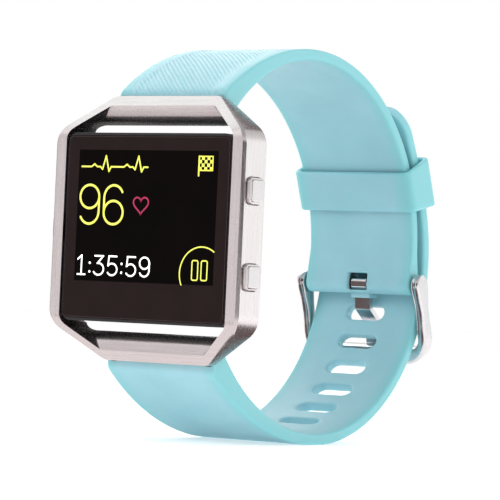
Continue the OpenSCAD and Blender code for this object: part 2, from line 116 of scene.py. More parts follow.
def finish_mesh(name, bm, merge=1e-6, smooth_angle=35):
    """Turns a bmesh in metres into an object with smooth faces and crisp edges."""
    bmesh.ops.remove_doubles(bm, verts=bm.verts, dist=merge)
    bmesh.ops.dissolve_degenerate(bm, edges=bm.edges, dist=merge / 2)
    bmesh.ops.recalc_face_normals(bm, faces=bm.faces)
    mesh = bpy.data.meshes.new(name)
    bm.to_mesh(mesh)
    bm.free()
    for polygon in mesh.polygons:
        polygon.use_smooth = True
    mesh.set_sharp_from_angle(angle=math.radians(smooth_angle))
    return new_object(name, mesh)


def add_grid(bm, rows, closed_rows=False, closed_columns=False, skip=None):
    """Faces between rows of points. skip(i, j) leaves a face out."""
    made = [[bm.verts.new(p) for p in row] for row in rows]
    count, width = len(made), len(made[0])
    for i in range(count if closed_rows else count - 1):
        for j in range(width if closed_columns else width - 1):
            if skip and skip(i, j):
                continue
            a, b = made[i], made[(i + 1) % count]
            k = (j + 1) % width
            bm.faces.new((a[j], a[k], b[k], b[j]))


# ---- Straps ----

class Strap:
    """A strap's side profile as matched outer and inner curves, with a width that may shrink at its tip."""

    def __init__(self, stretches, tip_corner=0.0):
        self.stretches = stretches
        self.tip_corner = tip_corner
        self.ends = [0.0]
        for outer, inner in stretches:
            self.ends.append(self.ends[-1] + self.length_of(outer))
        self.length = self.ends[-1]

    @staticmethod
    def length_of(curve, steps=48):
        points = [curve(k / steps) for k in range(steps + 1)]
        return sum(math.dist(p, q) for p, q in zip(points, points[1:]))

    def start_of(self, index, u=0.0):
        """Distance along the outer face to a part u of a stretch."""
        return mix(self.ends[index], self.ends[index + 1], u)

    def faces(self, s):
        """The outer and inner (y, z) points at a distance s along the outer face."""
        s = min(max(s, 0.0), self.length)
        index = max(k for k in range(len(self.stretches)) if self.ends[k] <= s + 1e-9)
        u = (s - self.ends[index]) / (self.ends[index + 1] - self.ends[index])
        outer, inner = self.stretches[index]
        return outer(u), inner(u)

    def half_width(self, s):
        left = max(self.length - s, 0.0)
        corner = self.tip_corner
        if left >= corner:
            return HALF_W
        return HALF_W - corner + math.sqrt(corner ** 2 - (corner - left) ** 2)

    def point(self, s, x, side, depth, lift=0.0):
        """A point on the outer (side 1) or inner (side -1) face, or at a depth below it."""
        outer, inner = self.faces(s)
        near, far = (outer, inner) if side > 0 else (inner, outer)
        thick = math.dist(near, far)
        if thick < 1e-6:
            y, z = near
        else:
            y, z = mix(near, far, min((depth - lift) / thick, 0.5))
        y = max(y, FLAT_Y)
        z = max(z, STAND_Z)
        return at(x * self.half_width(s) / HALF_W, y, z)


def arc(centre, radius, start, end, end_radius=None):
    """An arc whose radius may change along it."""
    last = radius if end_radius is None else end_radius
    return lambda u: polar(centre, mix(radius, last, u), mix(start, end, u))


def line(a, b):
    return lambda u: mix(a, b, u)


def nose(lug, front, front_r, inner, inner_r):
    """The rounded end round a lug, which runs on into the outer and inner bends."""
    out_angle, in_angle = heading(front, lug), heading(inner, lug)
    outer_r = front_r - math.dist(front, lug)
    inner_r = math.dist(inner, lug) - inner_r
    above = lug[1] > 0
    far_angle = in_angle + 180 if above else in_angle - 180
    middle = (out_angle + far_angle) / 2
    mean_r = (outer_r + inner_r) / 2
    return (arc(lug, mean_r, middle, out_angle, outer_r), arc(lug, mean_r, middle, far_angle, inner_r),
            out_angle, in_angle)


def upper_profile():
    lug = (LUG_Y, LUG_Z)
    front, inner = (TOP_Y, TOP_Z - TOP_FRONT_R), (TOP_Y, TOP_Z - THICK - TOP_INNER_R)
    nose_out, nose_in, out_angle, in_angle = nose(lug, front, TOP_FRONT_R, inner, TOP_INNER_R)
    back_out, back_in = polar(LOOP, TOP_BACK_R, 0), polar(LOOP, TOP_BACK_R - THICK, 0)
    end_out, end_in = (HINGE[0] + END_R, HINGE[1]), (HINGE[0] - END_R, HINGE[1])
    return Strap([
        (nose_out, nose_in),
        (arc(front, TOP_FRONT_R, out_angle, 90), arc(inner, TOP_INNER_R, in_angle, 90)),
        (arc(LOOP, TOP_BACK_R, 90, 0), arc(LOOP, TOP_BACK_R - THICK, 90, 0)),
        (line(back_out, end_out), line(back_in, end_in)),
        (arc(HINGE, END_R, 0, -90), arc(HINGE, END_R, 180, 270))])


def lower_profile():
    lug = (LUG_Y, -LUG_Z)
    front, inner = (LOW_Y, LOW_Z + LOW_FRONT_R), (LOW_Y, LOW_Z + THICK + LOW_INNER_R)
    nose_out, nose_in, out_angle, in_angle = nose(lug, front, LOW_FRONT_R, inner, LOW_INNER_R)
    tail = polar(BACK, LOW_BACK_R - TAIL_R, TAIL_FROM)
    tip_r = THICK / 2
    tip = polar(tail, TAIL_R - tip_r, TAIL_TO)
    return Strap([
        (nose_out, nose_in),
        (arc(front, LOW_FRONT_R, out_angle, -90), arc(inner, LOW_INNER_R, in_angle, -90)),
        (arc(BACK, LOW_BACK_R, -90, TAIL_FROM), arc(BACK, LOW_BACK_R - THICK, -90, TAIL_FROM)),
        (arc(tail, TAIL_R, TAIL_FROM, TAIL_TO), arc(tail, TAIL_R - THICK, TAIL_FROM, TAIL_TO)),
        (arc(tip, tip_r, TAIL_TO, TAIL_TO + 90), arc(tip, tip_r, TAIL_TO + 180, TAIL_TO + 90))], TIP_CORNER)


def section(across):
    """Columns round a strap's section, as (x, side, depth): outer face, right edge, inner face, left edge."""
    steps = 5
    rim = [(HALF_W - RIM + RIM * math.sin(math.pi / 2 * k / steps), RIM - RIM * math.cos(math.pi / 2 * k / steps))
           for k in range(steps + 1)]
    right = [(x, 1, d) for x, d in rim] + [(x, -1, d) for x, d in reversed(rim)]
    left = [(-x, -1, d) for x, d in rim] + [(-x, 1, d) for x, d in reversed(rim)]
    return ([(x, 1, 0.0) for x in across] + right + [(x, -1, 0.0) for x in reversed(across)] + left)


def spread(low, high, step):
    """Evenly spaced numbers from low to high, about a step apart."""
    count = max(1, round((high - low) / step))
    return [mix(low, high, k / count) for k in range(count + 1)]


def add_hole_cell(bm, strap, across, stations, hole):
    """A stretch of both faces with a rounded hole through it, and the hole's wall."""
    centre, half_x, half_s, radius = hole
    fillet = 0.4
    edge = ([(x, stations[0]) for x in across[:-1]] + [(across[-1], s) for s in stations[:-1]]
            + [(x, stations[-1]) for x in reversed(across[1:])] + [(across[0], s) for s in reversed(stations[1:])])
    rings = [(0.0, 1.1), (0.0, fillet)]
    for k in range(1, 4):
        turn = math.pi / 2 * k / 3
        rings.append((fillet - fillet * math.cos(turn), fillet - fillet * math.sin(turn)))
    for side in (1, -1):
        rows = []
        spokes = []
        for x, s in edge:
            core = (min(max(x, radius - half_x), half_x - radius),
                    min(max(s - centre, radius - half_s), half_s - radius))
            away = Vector((x - core[0], s - centre - core[1])).normalized()
            spokes.append((x, s, core, away))
        for offset, depth in rings:
            rows.append([strap.point(centre + core[1] + away.y * (radius + offset),
                                     core[0] + away.x * (radius + offset), side, depth)
                         for x, s, core, away in spokes])
        for u in (0.25, 0.6, 1.0):
            rows.append([strap.point(mix(centre + core[1] + away.y * (radius + fillet), s, u),
                                     mix(core[0] + away.x * (radius + fillet), x, u), side, 0.0)
                         for x, s, core, away in spokes])
        add_grid(bm, rows, closed_columns=True)


def add_straight(bm, strap, across, stations, holes):
    """A stretch of strap with straight rows. holes are (centre, half x, half s, corner radius), one a cell."""
    columns = section(across)
    cells = []
    for hole in holes:
        reach = hole[2] + 1.5
        inside = [k for k, s in enumerate(stations) if abs(s - hole[0]) <= reach + 1e-6]
        cells.append((inside[0], inside[-1]))
        add_hole_cell(bm, strap, across, stations[inside[0]:inside[-1] + 1], hole)
    face = len(across) - 1
    inner_start = len(across) + 12

    def skip(i, j):
        on_face = j < face or inner_start <= j < inner_start + face
        return on_face and any(a <= i < b for a, b in cells)

    rows = [[strap.point(s, x, side, depth) for x, side, depth in columns] for s in stations]
    add_grid(bm, rows, closed_columns=True, skip=skip)


def rib_depth(row):
    """Depth of the groove between two ribs on a row of the ribbed face."""
    wave = 0.5 - 0.5 * math.cos(2 * math.pi * row / RIB_PITCH)
    return RIB_DEPTH * wave ** 1.5


def add_ribbed(bm, strap, across, end):
    """The stretch from the frame to a distance along the strap, whose rows slant with the ribs."""
    columns = section(across)
    step = RIB_PITCH / RIB_ROWS
    rows = []
    for k in range(math.floor(-HALF_W / step), math.ceil((end + HALF_W) / step) + 1):
        row = []
        for x, side, depth in columns:
            s = min(max(k * step - x, 0.0), end)
            ribbed = side > 0 and depth == 0 and abs(x) < RIB_FIELD - 0.01
            fade = min(1.0, s / 0.4, (end - s) / 0.4) if ribbed else 0.0
            row.append(strap.point(s, x, side, depth, -rib_depth(k * step) * fade))
        rows.append(row)
    add_grid(bm, rows, closed_columns=True)


def box_cutter(bm, x0, x1, y0, y1, z0, z1):
    corners = [at(x, y, z) for x in (x0, x1) for y in (y0, y1) for z in (z0, z1)]
    verts = [bm.verts.new(p) for p in corners]
    for face in ((0, 1, 3, 2), (4, 6, 7, 5), (0, 4, 5, 1), (2, 3, 7, 6), (0, 2, 6, 4), (1, 5, 7, 3)):
        bm.faces.new([verts[k] for k in face])


def cut(piece, bm):
    """Takes the closed shapes in bm out of a piece."""
    bmesh.ops.recalc_face_normals(bm, faces=bm.faces)
    mesh = bpy.data.meshes.new("cutter")
    bm.to_mesh(mesh)
    bm.free()
    cutter = new_object("cutter", mesh)
    modifier = piece.modifiers.new("cut", "BOOLEAN")
    modifier.object = cutter
    modifier.solver = "EXACT"
    apply_modifiers(piece)
    bpy.data.objects.remove(cutter)


def cut_lug_room(piece, up):
    """Pockets in a strap's end for the frame's lugs, and a slot for the knob that draws the spring bar back."""
    play, lug, neck_angle, neck_len = 0.15, (LUG_Y, LUG_Z), 212, 3.6
    room_r = LUG_R + 2 * play
    neck = [polar(polar(lug, run, neck_angle), off, neck_angle - 90)
            for run, off in ((0, -LUG_R), (neck_len, -LUG_R), (neck_len, LUG_R), (0, LUG_R))]
    round_end = [polar(lug, room_r, 360 * k / 40) for k in range(40)]
    for side in (1, -1):
        ends = side * (LUG_X - play), side * (LUG_X + LUG_T + play)
        for shape in (round_end, neck):
            room = bmesh.new()
            add_loft(room, [[at(x, y, up * z) for y, z in shape] for x in ends])
            cut(piece, room)
    slot = bmesh.new()
    box_cutter(slot, 3.8, 6.8, LUG_Y - 0.6, LUG_Y + 0.6, up * (LUG_Z - 3.6), up * (LUG_Z - 1.0))
    cut(piece, slot)


def apply_modifiers(piece):
    bpy.context.view_layer.update()
    shown = piece.evaluated_get(bpy.context.evaluated_depsgraph_get())
    mesh = bpy.data.meshes.new_from_object(shown)
    piece.modifiers.clear()
    old = piece.data
    piece.data = mesh
    bpy.data.meshes.remove(old)


def face_columns():
    inner = spread(-RIB_FIELD + 0.3, RIB_FIELD - 0.3, 1.2)
    return [-11.2, -RIB_FIELD] + inner + [RIB_FIELD, 11.2]


def make_upper_strap():
    strap = upper_profile()
    across = face_columns()
    ribbed_end = strap.start_of(3)
    window_top = strap.start_of(3, (-6.0 - LOOP[1]) / (HINGE[1] - LOOP[1]))
    window_low = strap.start_of(4, math.degrees(math.asin(1.4 / END_R)) / 90)
    centre, half = (window_top + window_low) / 2, (window_low - window_top) / 2
    bm = bmesh.new()
    add_ribbed(bm, strap, across, ribbed_end)
    before, after = centre - half - 1.5, centre + half + 0.9
    stations = spread(ribbed_end, before, 0.8) + spread(before, after, 0.5)[1:] + spread(after, strap.length, 0.25)[1:]
    add_straight(bm, strap, across, stations, [(centre, 2.45, half, 0.6)])
    piece = finish_mesh("upper_strap_ribbed", bm)
    cutter = bmesh.new()
    box_cutter(cutter, -2.2, 2.2, HINGE[0] - 0.4, HINGE[0] + 3, HINGE[1] - 3, HINGE[1] - 1)
    cut(piece, cutter)
    cut_lug_room(piece, 1)
    return piece


def make_lower_strap():
    strap = lower_profile()
    across = face_columns()
    bend, bend_angle = strap.start_of(2), strap.start_of(3) - strap.start_of(2)
    span = TAIL_FROM + 90
    places = sorted(bend + bend_angle * (SLOT_FROM + SLOT_STEP * k + 90) / span for k in range(SLOT_COUNT))
    reach = SLOT_R + 1.5
    stations = spread(0, places[0] - reach, 0.8)
    for k, place in enumerate(places):
        stations += spread(place - reach, place + reach, 0.55)[1:]
        until = places[k + 1] - reach if k + 1 < len(places) else strap.length - 9
        stations += spread(place + reach, until, 0.8)[1:]
    stations += spread(strap.length - 9, strap.length - 2, 0.5)[1:]
    stations += [strap.length - 2 * (1 - math.sin(math.pi / 2 * k / 16)) for k in range(1, 17)]
    bm = bmesh.new()
    add_straight(bm, strap, across, stations, [(place, SLOT_HALF, SLOT_R, SLOT_R) for place in places])
    piece = finish_mesh("lower_strap_smooth", bm)
    cut_lug_room(piece, -1)
    return piece


# ---- Frame ----

FRAME_W, FRAME_H, SIDE, END = 44.9, 51.3, 36.9, 25.2
OPEN_W, OPEN_H, OPEN_SIDE, OPEN_END = 40.36, 47.4, 36.6, 25.1
BEVEL, WALL_D, FOLD_D = 0.55, 6.9, 5.4
WALL_X = FRAME_W / 2 + BEVEL
BUTTON_Y = 3.5
BUTTONS = {"upper_right_button": (1, 7.6), "lower_right_button": (1, -8.6), "left_button": (-1, -0.3)}


def octagon(w, h, side, end, side_r, end_r, arc_steps=8, side_steps=28, end_steps=10, slant_steps=8):
    """Points round an eight-sided ring from the middle of the right side, with rounded corners."""
    corners = [(w / 2, side / 2), (end / 2, h / 2), (-end / 2, h / 2), (-w / 2, side / 2),
               (-w / 2, -side / 2), (-end / 2, -h / 2), (end / 2, -h / 2), (w / 2, -side / 2)]
    radii = [side_r, end_r, end_r, side_r] * 2
    rounds = []
    for k, corner in enumerate(corners):
        here = Vector(corner)
        back = (Vector(corners[k - 1]) - here).normalized()
        on = (Vector(corners[(k + 1) % 8]) - here).normalized()
        half = back.angle(on) / 2
        centre = here + (back + on).normalized() * radii[k] / math.sin(half)
        start, end_point = here + back * radii[k] / math.tan(half), here + on * radii[k] / math.tan(half)
        first, last = (start - centre), (end_point - centre)
        turn = first.angle(last)
        a = math.atan2(first.y, first.x)
        rounds.append([(centre.x + radii[k] * math.cos(a + turn * i / arc_steps),
                        centre.y + radii[k] * math.sin(a + turn * i / arc_steps)) for i in range(arc_steps + 1)])
    counts = [slant_steps, end_steps, slant_steps, side_steps] * 2
    points = []
    for k in range(8):
        points += rounds[k]
        a, b = rounds[k][-1], rounds[(k + 1) % 8][0]
        points += [mix(a, b, i / counts[k]) for i in range(1, counts[k])]
    return points


def fold(z):
    """Depth of the ring's front face, which folds back smoothly past the straight sides."""
    slope = FOLD_D / (FRAME_H / 2 - SIDE / 2)
    past, soft = abs(z) - SIDE / 2, 1.6
    if past <= -soft:
        return 0.0
    if past >= soft:
        return past * slope
    return slope * (past + soft) ** 2 / (4 * soft)


PLATE_X, PLATE_Z, PLATE_R, PLATE_Y = 15.6, 18.55, (3.1, 1.45), 6.8


def plate_edge(x, z):
    """The end plate's edge behind a point of the opening's edge, and how far the plate is formed there."""
    past = abs(z) - OPEN_SIDE / 2
    if past <= 0:
        return (x, WALL_D, z), 0.0
    along = min(1.0, past / (OPEN_H / 2 - OPEN_SIDE / 2))
    turn = math.radians(90 * along)
    flat = OPEN_END / 2 - 0.6
    if abs(x) > flat:
        end_x, end_z = PLATE_X + PLATE_R[0] * math.cos(turn), PLATE_Z + PLATE_R[1] * math.sin(turn)
    else:
        end_x, end_z = abs(x) * PLATE_X / flat, PLATE_Z + PLATE_R[1]
    return (math.copysign(end_x, x), mix(WALL_D, PLATE_Y, along), math.copysign(end_z, z)), along


def curve(points, u):
    """A point on the curve from the first of some points to the last, drawn towards those between."""
    while len(points) > 1:
        points = [mix(a, b, u) for a, b in zip(points, points[1:])]
    return points[0]


def between(a, b, part_xz, part_y):
    """A point part of the way from a to b, with another part for its depth."""
    return mix(a[0], b[0], part_xz), mix(a[1], b[1], part_y), mix(a[2], b[2], part_xz)


def ring_section(opening, outer, wall):
    """One section of the ring: front face, bevel, wall, back and the inner face down to the end plate's edge."""
    (ix, iz), (ox, oz), (wx, wz) = opening, outer, wall
    edge, formed = plate_edge(ix, iz)
    front = (ix, fold(iz), iz)
    section = [front, (ox, fold(oz), oz), (wx, fold(oz) + BEVEL, wz), (wx, WALL_D, wz)]
    back = (mix(ix, ox, 0.15), WALL_D, mix(iz, oz, 0.15))
    rear = (edge[0], edge[1] + 0.15 * formed, edge[2] + math.copysign(mix(0.02, 0.65, formed), iz))
    behind = [back, between(back, rear, 0.6, 0.3), rear]
    section += [curve(behind, k / 6) for k in range(7)]
    plain = [between(front, edge, part, part) for part in (0.33, 0.67)]
    shaped = [between(front, edge, 0.68, 0.14), between(front, edge, 0.84, 0.23)]
    blend = min(1.0, formed * 1.4)
    inside = [edge, mix(plain[1], shaped[1], blend), mix(plain[0], shaped[0], blend), front]
    section += [curve(inside, k / 12) for k in range(12)]
    return [at(*point) for point in section]


def add_loft(bm, rows):
    """A closed solid through a row of outlines, with flat ends."""
    made = [[bm.verts.new(p) for p in row] for row in rows]
    for a, b in zip(made, made[1:]):
        for j in range(len(a)):
            k = (j + 1) % len(a)
            bm.faces.new((a[j], a[k], b[k], b[j]))
    bm.faces.new(made[0])
    bm.faces.new(list(reversed(made[-1])))


def add_lug(bm, x0, x1, up):
    """A lug behind the ring's end, with the hole for the spring bar's tip."""
    rows = []
    for radius, x in ((LUG_R, x0), (LUG_R, x1), (0.47, x1), (0.47, x0)):
        rows.append([at(x, *polar((LUG_Y, up * LUG_Z), radius, 360 * k / 32)) for k in range(32)])
    add_grid(bm, rows, closed_rows=True, closed_columns=True)
    neck = ((6.7, 24.9), (8.3, 26.5), (9.9, 24.5), (6.7, 22.7))
    add_loft(bm, [[at(x, y, up * z) for y, z in neck] for x in (x0, x1)])


def button_outline(side, z, x, grow):
    """A button's outline in its wall, x out from the wall and grown by an offset."""
    return [at(side * (WALL_X + x), BUTTON_Y + u, z + v)
            for u, v in round_rect(4.6 + 2 * grow, 5.0 + 2 * grow, max(0.3, 1.0 + grow))]


def make_frame():
    """The octagonal ring with its folded ends, end plates, lugs and button pockets."""
    opening = octagon(OPEN_W, OPEN_H, OPEN_SIDE, OPEN_END, 2.6, 1.6)
    outer = octagon(FRAME_W, FRAME_H, SIDE, END, 4.6, 2.6)
    wall = octagon(FRAME_W + 2 * BEVEL, FRAME_H, SIDE, END + BEVEL, 4.9, 2.6)
    bm = bmesh.new()
    rows = [ring_section(*points) for points in zip(opening, outer, wall)]
    add_grid(bm, rows, closed_rows=True, closed_columns=True)
    piece = finish_mesh("steel_frame", bm)
    cutter = bmesh.new()
    for side, z in BUTTONS.values():
        add_loft(cutter, [button_outline(side, z, x, grow) for x, grow in ((-0.9, 0.12), (-0.1, 0.12), (0.3, 0.42))])
    cut(piece, cutter)
    bm = bmesh.new()
    bm.from_mesh(piece.data)
    for side in (1, -1):
        for up in (1, -1):
            add_lug(bm, side * LUG_X, side * (LUG_X + LUG_T), up)
    bm.to_mesh(piece.data)
    bm.free()
    piece.data.set_sharp_from_angle(angle=math.radians(30))
    bevel = piece.modifiers.new("edges", "BEVEL")
    bevel.width = 0.09 * MM
    bevel.segments = 2
    bevel.limit_method = "ANGLE"
    bevel.angle_limit = math.radians(32)
    bevel.harden_normals = True
    apply_modifiers(piece)
    return piece


def make_button(name):
    """A stepped cap with rounded edges on its stem."""
    side, z = BUTTONS[name]
    bm = bmesh.new()
    profile = [(-0.45, 0.0), (0.5, 0.0), (0.58, -0.02), (0.64, -0.08), (0.66, -0.16), (0.67, -0.3), (0.7, -0.36),
               (0.92, -0.4), (1.0, -0.45), (1.04, -0.55), (1.05, -0.75)]
    add_loft(bm, [button_outline(side, z, x, grow) for x, grow in profile])
    stem = [(OPEN_W / 2 - WALL_X - 0.42, 0.95), (-0.5, 0.95)]
    add_loft(bm, [[at(side * (WALL_X + x), BUTTON_Y + r * math.cos(a), z + r * math.sin(a))
                   for a in [2 * math.pi * k / 32 for k in range(32)]] for x, r in stem])
    return finish_mesh(name + "_cap", bm, smooth_angle=40)


# ---- Return springs ----

# Each spring's joint and travel, its turns, and its wire's and its coil's radius
BUTTON_SPRING = (0.4, 4, 0.13, 1.35)
BAR_SPRING = (1.4, 12, 0.07, 0.36)
SPRINGS = {
    "upper_right_spring": ("upper_right_button_press", 1, BUTTON_SPRING),
    "lower_right_spring": ("lower_right_button_press", 1, BUTTON_SPRING),
    "left_spring": ("left_button_press", -1, BUTTON_SPRING),
    "upper_bar_spring": ("upper_bar_release", 1, BAR_SPRING),
    "lower_bar_spring": ("lower_bar_release", 1, BAR_SPRING),
}


def make_spring(node, turns, wire, coil):
    """A return spring of one continuous wire, and half the length between its seats."""
    low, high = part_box(node)
    centre = (low + high) / 2
    half = (high.x - low.x - 2 * wire) / (turns - 1) * turns / 2
    steps, along = 24, Vector((1, 0, 0))
    rows = []
    for k in range(turns * steps + 1):
        angle = 2 * math.pi * k / steps
        out = Vector((0, math.cos(angle), math.sin(angle)))
        middle = centre + out * coil + along * mix(wire - half, half - wire, k / (turns * steps))
        rows.append([middle + (out * y + along * x) * wire for x, y in round_rect(2, 2, 1, 2)])
    bm = bmesh.new()
    add_loft(bm, rows)
    return finish_mesh(node + "_wire", bm), centre, half


# ---- Keeper ----

KEEPER_AT, KEEPER_LEN = 20.2, 9.2
KEEPER_IN_R, KEEPER_OUT_R, KEEPER_HALF, KEEPER_T = 36.1, 42.95, 13.35, 1.2


def make_keeper():
    """A rounded band round both straps, curved with the bend."""
    half_angle = math.degrees(KEEPER_LEN / TOP_BACK_R) / 2
    middle_r, half_r = (KEEPER_IN_R + KEEPER_OUT_R) / 2, (KEEPER_OUT_R - KEEPER_IN_R) / 2
    corner, steps = 0.5, 8
    outline = []
    for quarter, (sx, sr) in enumerate(((1, 1), (-1, 1), (-1, -1), (1, -1))):
        for k in range(steps + 1):
            a = math.pi / 2 * (quarter + k / steps)
            outline.append((sx * (KEEPER_HALF - corner), sr * (half_r - corner), math.cos(a), math.sin(a)))
    rim, turns = 0.5, 5
    across = []
    for low, (edge, inner) in enumerate(((1, 1), (1, 0), (0, 0), (0, 1))):
        for k in range(turns + 1):
            a = math.pi / 2 * k / turns
            u = math.sin(a) if inner == edge else math.cos(a)
            v = math.cos(a) if inner == edge else math.sin(a)
            along = KEEPER_LEN / 2 - rim + rim * (1 - (1 - u)) if edge else -(KEEPER_LEN / 2 - rim + rim * u)
            depth = KEEPER_T - rim + rim * v if inner else rim - rim * v
            across.append((along, depth))
    bm = bmesh.new()
    rows = []
    for along, depth in across:
        angle = KEEPER_AT + half_angle * along / (KEEPER_LEN / 2)
        row = []
        for cx, cr, nx, nr in outline:
            y, z = polar(LOOP, middle_r + cr + nr * (corner + depth), angle)
            row.append(at(cx + nx * (corner + depth), y, z))
        rows.append(row)
    add_grid(bm, rows, closed_rows=True, closed_columns=True)
    return finish_mesh("keeper_band", bm)


# ---- Buckle ----

BUCKLE_HALF, BUCKLE_LEN, ARM_T, LEAN = 15.4, 15.0, 1.9, 15.5
ARM_R, FAR_R = 2.3, 1.8
OUTER_R, INNER_R = 5.5, 2.0


def buckle_stations():
    """Matched outer and inner (x, distance from the hinge) points with the half depth, round the right half."""
    inner_half = BUCKLE_HALF - ARM_T
    low, inner_low = BUCKLE_LEN + FAR_R, BUCKLE_LEN - FAR_R
    stations = []
    for angle in (6, 20, 40, 60, 78):
        down = -ARM_R * math.cos(math.radians(angle))
        stations.append(((BUCKLE_HALF, down), (inner_half, down), ARM_R * math.sin(math.radians(angle))))
    for k in range(13):
        u = k / 12
        waist = mix(ARM_R, FAR_R, u) - 0.45 * math.sin(math.pi * u) ** 2
        stations.append(((BUCKLE_HALF, mix(0, low - OUTER_R, u)), (inner_half, mix(0, inner_low - INNER_R, u)), waist))
    for k in range(1, 13):
        outer = polar((BUCKLE_HALF - OUTER_R, low - OUTER_R), OUTER_R, 90 * k / 12)
        inner = polar((inner_half - INNER_R, inner_low - INNER_R), INNER_R, 90 * k / 12)
        stations.append((outer, inner, FAR_R))
    for k in range(1, 7):
        stations.append((mix(stations[29][0], (0.0, low), k / 6), mix(stations[29][1], (0.0, inner_low), k / 6), FAR_R))
    return stations


def make_buckle():
    """The buckle's rounded U: two arms with round heads, and the far bar between them."""
    tilt = math.radians(LEAN)
    half = buckle_stations()
    mirrored = [((-a[0], a[1]), (-b[0], b[1]), depth) for a, b, depth in reversed(half[:-1])]
    rows = []
    for outer, inner, depth in half + mirrored:
        middle = mix(outer, inner, 0.5)
        width = math.dist(outer, inner)
        out = ((outer[0] - inner[0]) / width, (outer[1] - inner[1]) / width)
        row = []
        for across, deep in round_rect(width, 2 * depth, min(0.85, depth * 0.9)):
            x, down = middle[0] + out[0] * across, middle[1] + out[1] * across
            row.append(at(x, HINGE[0] + deep * math.cos(tilt) + down * math.sin(tilt),
                          HINGE[1] + deep * math.sin(tilt) - down * math.cos(tilt)))
        rows.append(row)
    bm = bmesh.new()
    add_loft(bm, rows)
    return finish_mesh("buckle_u", bm, smooth_angle=50)


# ---- Display ----

GLASS_Y = 0.15               # front of the cover glass
LIT_Y, INK = 0.12, 0.04      # front and thickness of the lit shapes


def round_rect(w, h, r, steps=6):
    """Points round a rectangle with rounded corners, centred on the origin."""
    points = []
    for quarter, (sx, sy) in enumerate(((1, 1), (-1, 1), (-1, -1), (1, -1))):
        for k in range(steps + 1):
            a = math.pi / 2 * (quarter + k / steps)
            points.append((sx * (w / 2 - r) + r * math.cos(a), sy * (h / 2 - r) + r * math.sin(a)))
    return points


def ribbon(bm, path, width, closed=False, depth=INK, front=LIT_Y):
    """A flat stroke of even width along an (x, z) path, just proud of the cover glass."""
    count = len(path)
    left, right = [], []
    for k, p in enumerate(path):
        before = path[(k - 1) % count] if closed or k else p
        after = path[(k + 1) % count] if closed or k < count - 1 else p
        run = Vector((after[0] - before[0], after[1] - before[1])).normalized()
        left.append((p[0] - run.y * width / 2, p[1] + run.x * width / 2))
        right.append((p[0] + run.y * width / 2, p[1] - run.x * width / 2))
    if closed:
        rows = [[at(x, y, z) for (x, z) in side] for side, y in
                ((left, front), (right, front), (right, front + depth), (left, front + depth))]
        add_grid(bm, rows, closed_rows=True, closed_columns=True)
        return
    outline = left + cap(path[-1], path[-2], width) + right[::-1] + cap(path[0], path[1], width)
    add_plate(bm, outline, front, depth)


def stroke(bm, path, width):
    """A line with round ends along a path, which closes where it ends at its start. Sharp corners are rounded."""
    parts = [[path[0]]]
    for k in range(1, len(path)):
        parts[-1].append(path[k])
        if k < len(path) - 1:
            turn = heading(path[k], path[k + 1]) - heading(path[k - 1], path[k])
            if abs((turn + 180) % 360 - 180) > 40:
                parts.append([path[k]])
    for part in parts:
        loop = math.dist(part[0], part[-1]) < 1e-6
        ribbon(bm, part[:-1] if loop else part, width, closed=loop)


def cap(end, inner, width, steps=8):
    """Points of a stroke's round end, from its left side round to its right."""
    start = heading(inner, end) + 90
    return [polar(end, width / 2, start - 180 * k / steps) for k in range(1, steps)]


def add_plate(bm, outline, front, depth):
    """A thin plate with that (x, z) outline."""
    faces = []
    for y in (front, front + depth):
        faces.append([bm.verts.new(at(x, y, z)) for x, z in outline])
    count = len(outline)
    bm.faces.new(faces[0])
    bm.faces.new(list(reversed(faces[1])))
    for k in range(count):
        n = (k + 1) % count
        bm.faces.new((faces[0][k], faces[1][k], faces[1][n], faces[0][n]))


def curve_points(centre, rx, rz, start, end, steps=20):
    """Points along an elliptical arc in (x, z)."""
    return [(centre[0] + rx * math.cos(math.radians(mix(start, end, k / steps))),
             centre[1] + rz * math.sin(math.radians(mix(start, end, k / steps)))) for k in range(steps + 1)]


def digit(figure, x, z, w, h):
    """Strokes of a figure whose centre lines fill a box with its lower left corner at (x, z)."""
    r = w / 2
    cx = x + r
    if figure == "1":
        return [[(x, z + h * 0.8), (cx, z + h), (cx, z)], [(x, z), (x + w, z)]]
    if figure == "3":
        bowl = curve_points((cx - r * 0.1, z + h * 0.31), r * 1.1, h * 0.31, 100, -150, 24)
        return [[(x + w * 0.06, z + h), (x + w * 0.94, z + h)] + bowl]
    if figure == "5":
        bowl = curve_points((cx - r * 0.05, z + h * 0.31), r * 1.05, h * 0.31, 140, -145, 26)
        return [[(x + w * 0.94, z + h), (x + w * 0.14, z + h)] + bowl]
    if figure == "6":
        bowl = curve_points((cx, z + h * 0.3), r, h * 0.3, 0, 360, 40)
        back = curve_points((cx, z + h * 0.68), r, h * 0.32, 28, 180, 20)
        return [bowl, back + [(x, z + h * 0.3)]]
    if figure == "9":
        bowl = curve_points((cx, z + h * 0.7), r, h * 0.3, 0, 360, 40)
        back = curve_points((cx, z + h * 0.32), r, h * 0.32, -152, 0, 20)
        return [bowl, back + [(x + w, z + h * 0.7)]]
    raise ValueError(figure)


def make_figures(name, text, x, z, w, h, gap, pen):
    """A row of figures; a colon is two dots."""
    bm = bmesh.new()
    for sign in text:
        if sign == ":":
            for level in (0.16, 0.62):
                dot = curve_points((x + pen / 2, z + h * level), pen * 0.75, pen * 0.75, 0, 345, 23)
                add_plate(bm, dot, LIT_Y, INK)
            x += pen + gap
            continue
        width = w * 0.8 if sign == "1" else w
        for path in digit(sign, x, z, width, h):
            stroke(bm, path, pen)
        x += width + gap
    return finish_mesh(name, bm, merge=1e-8)


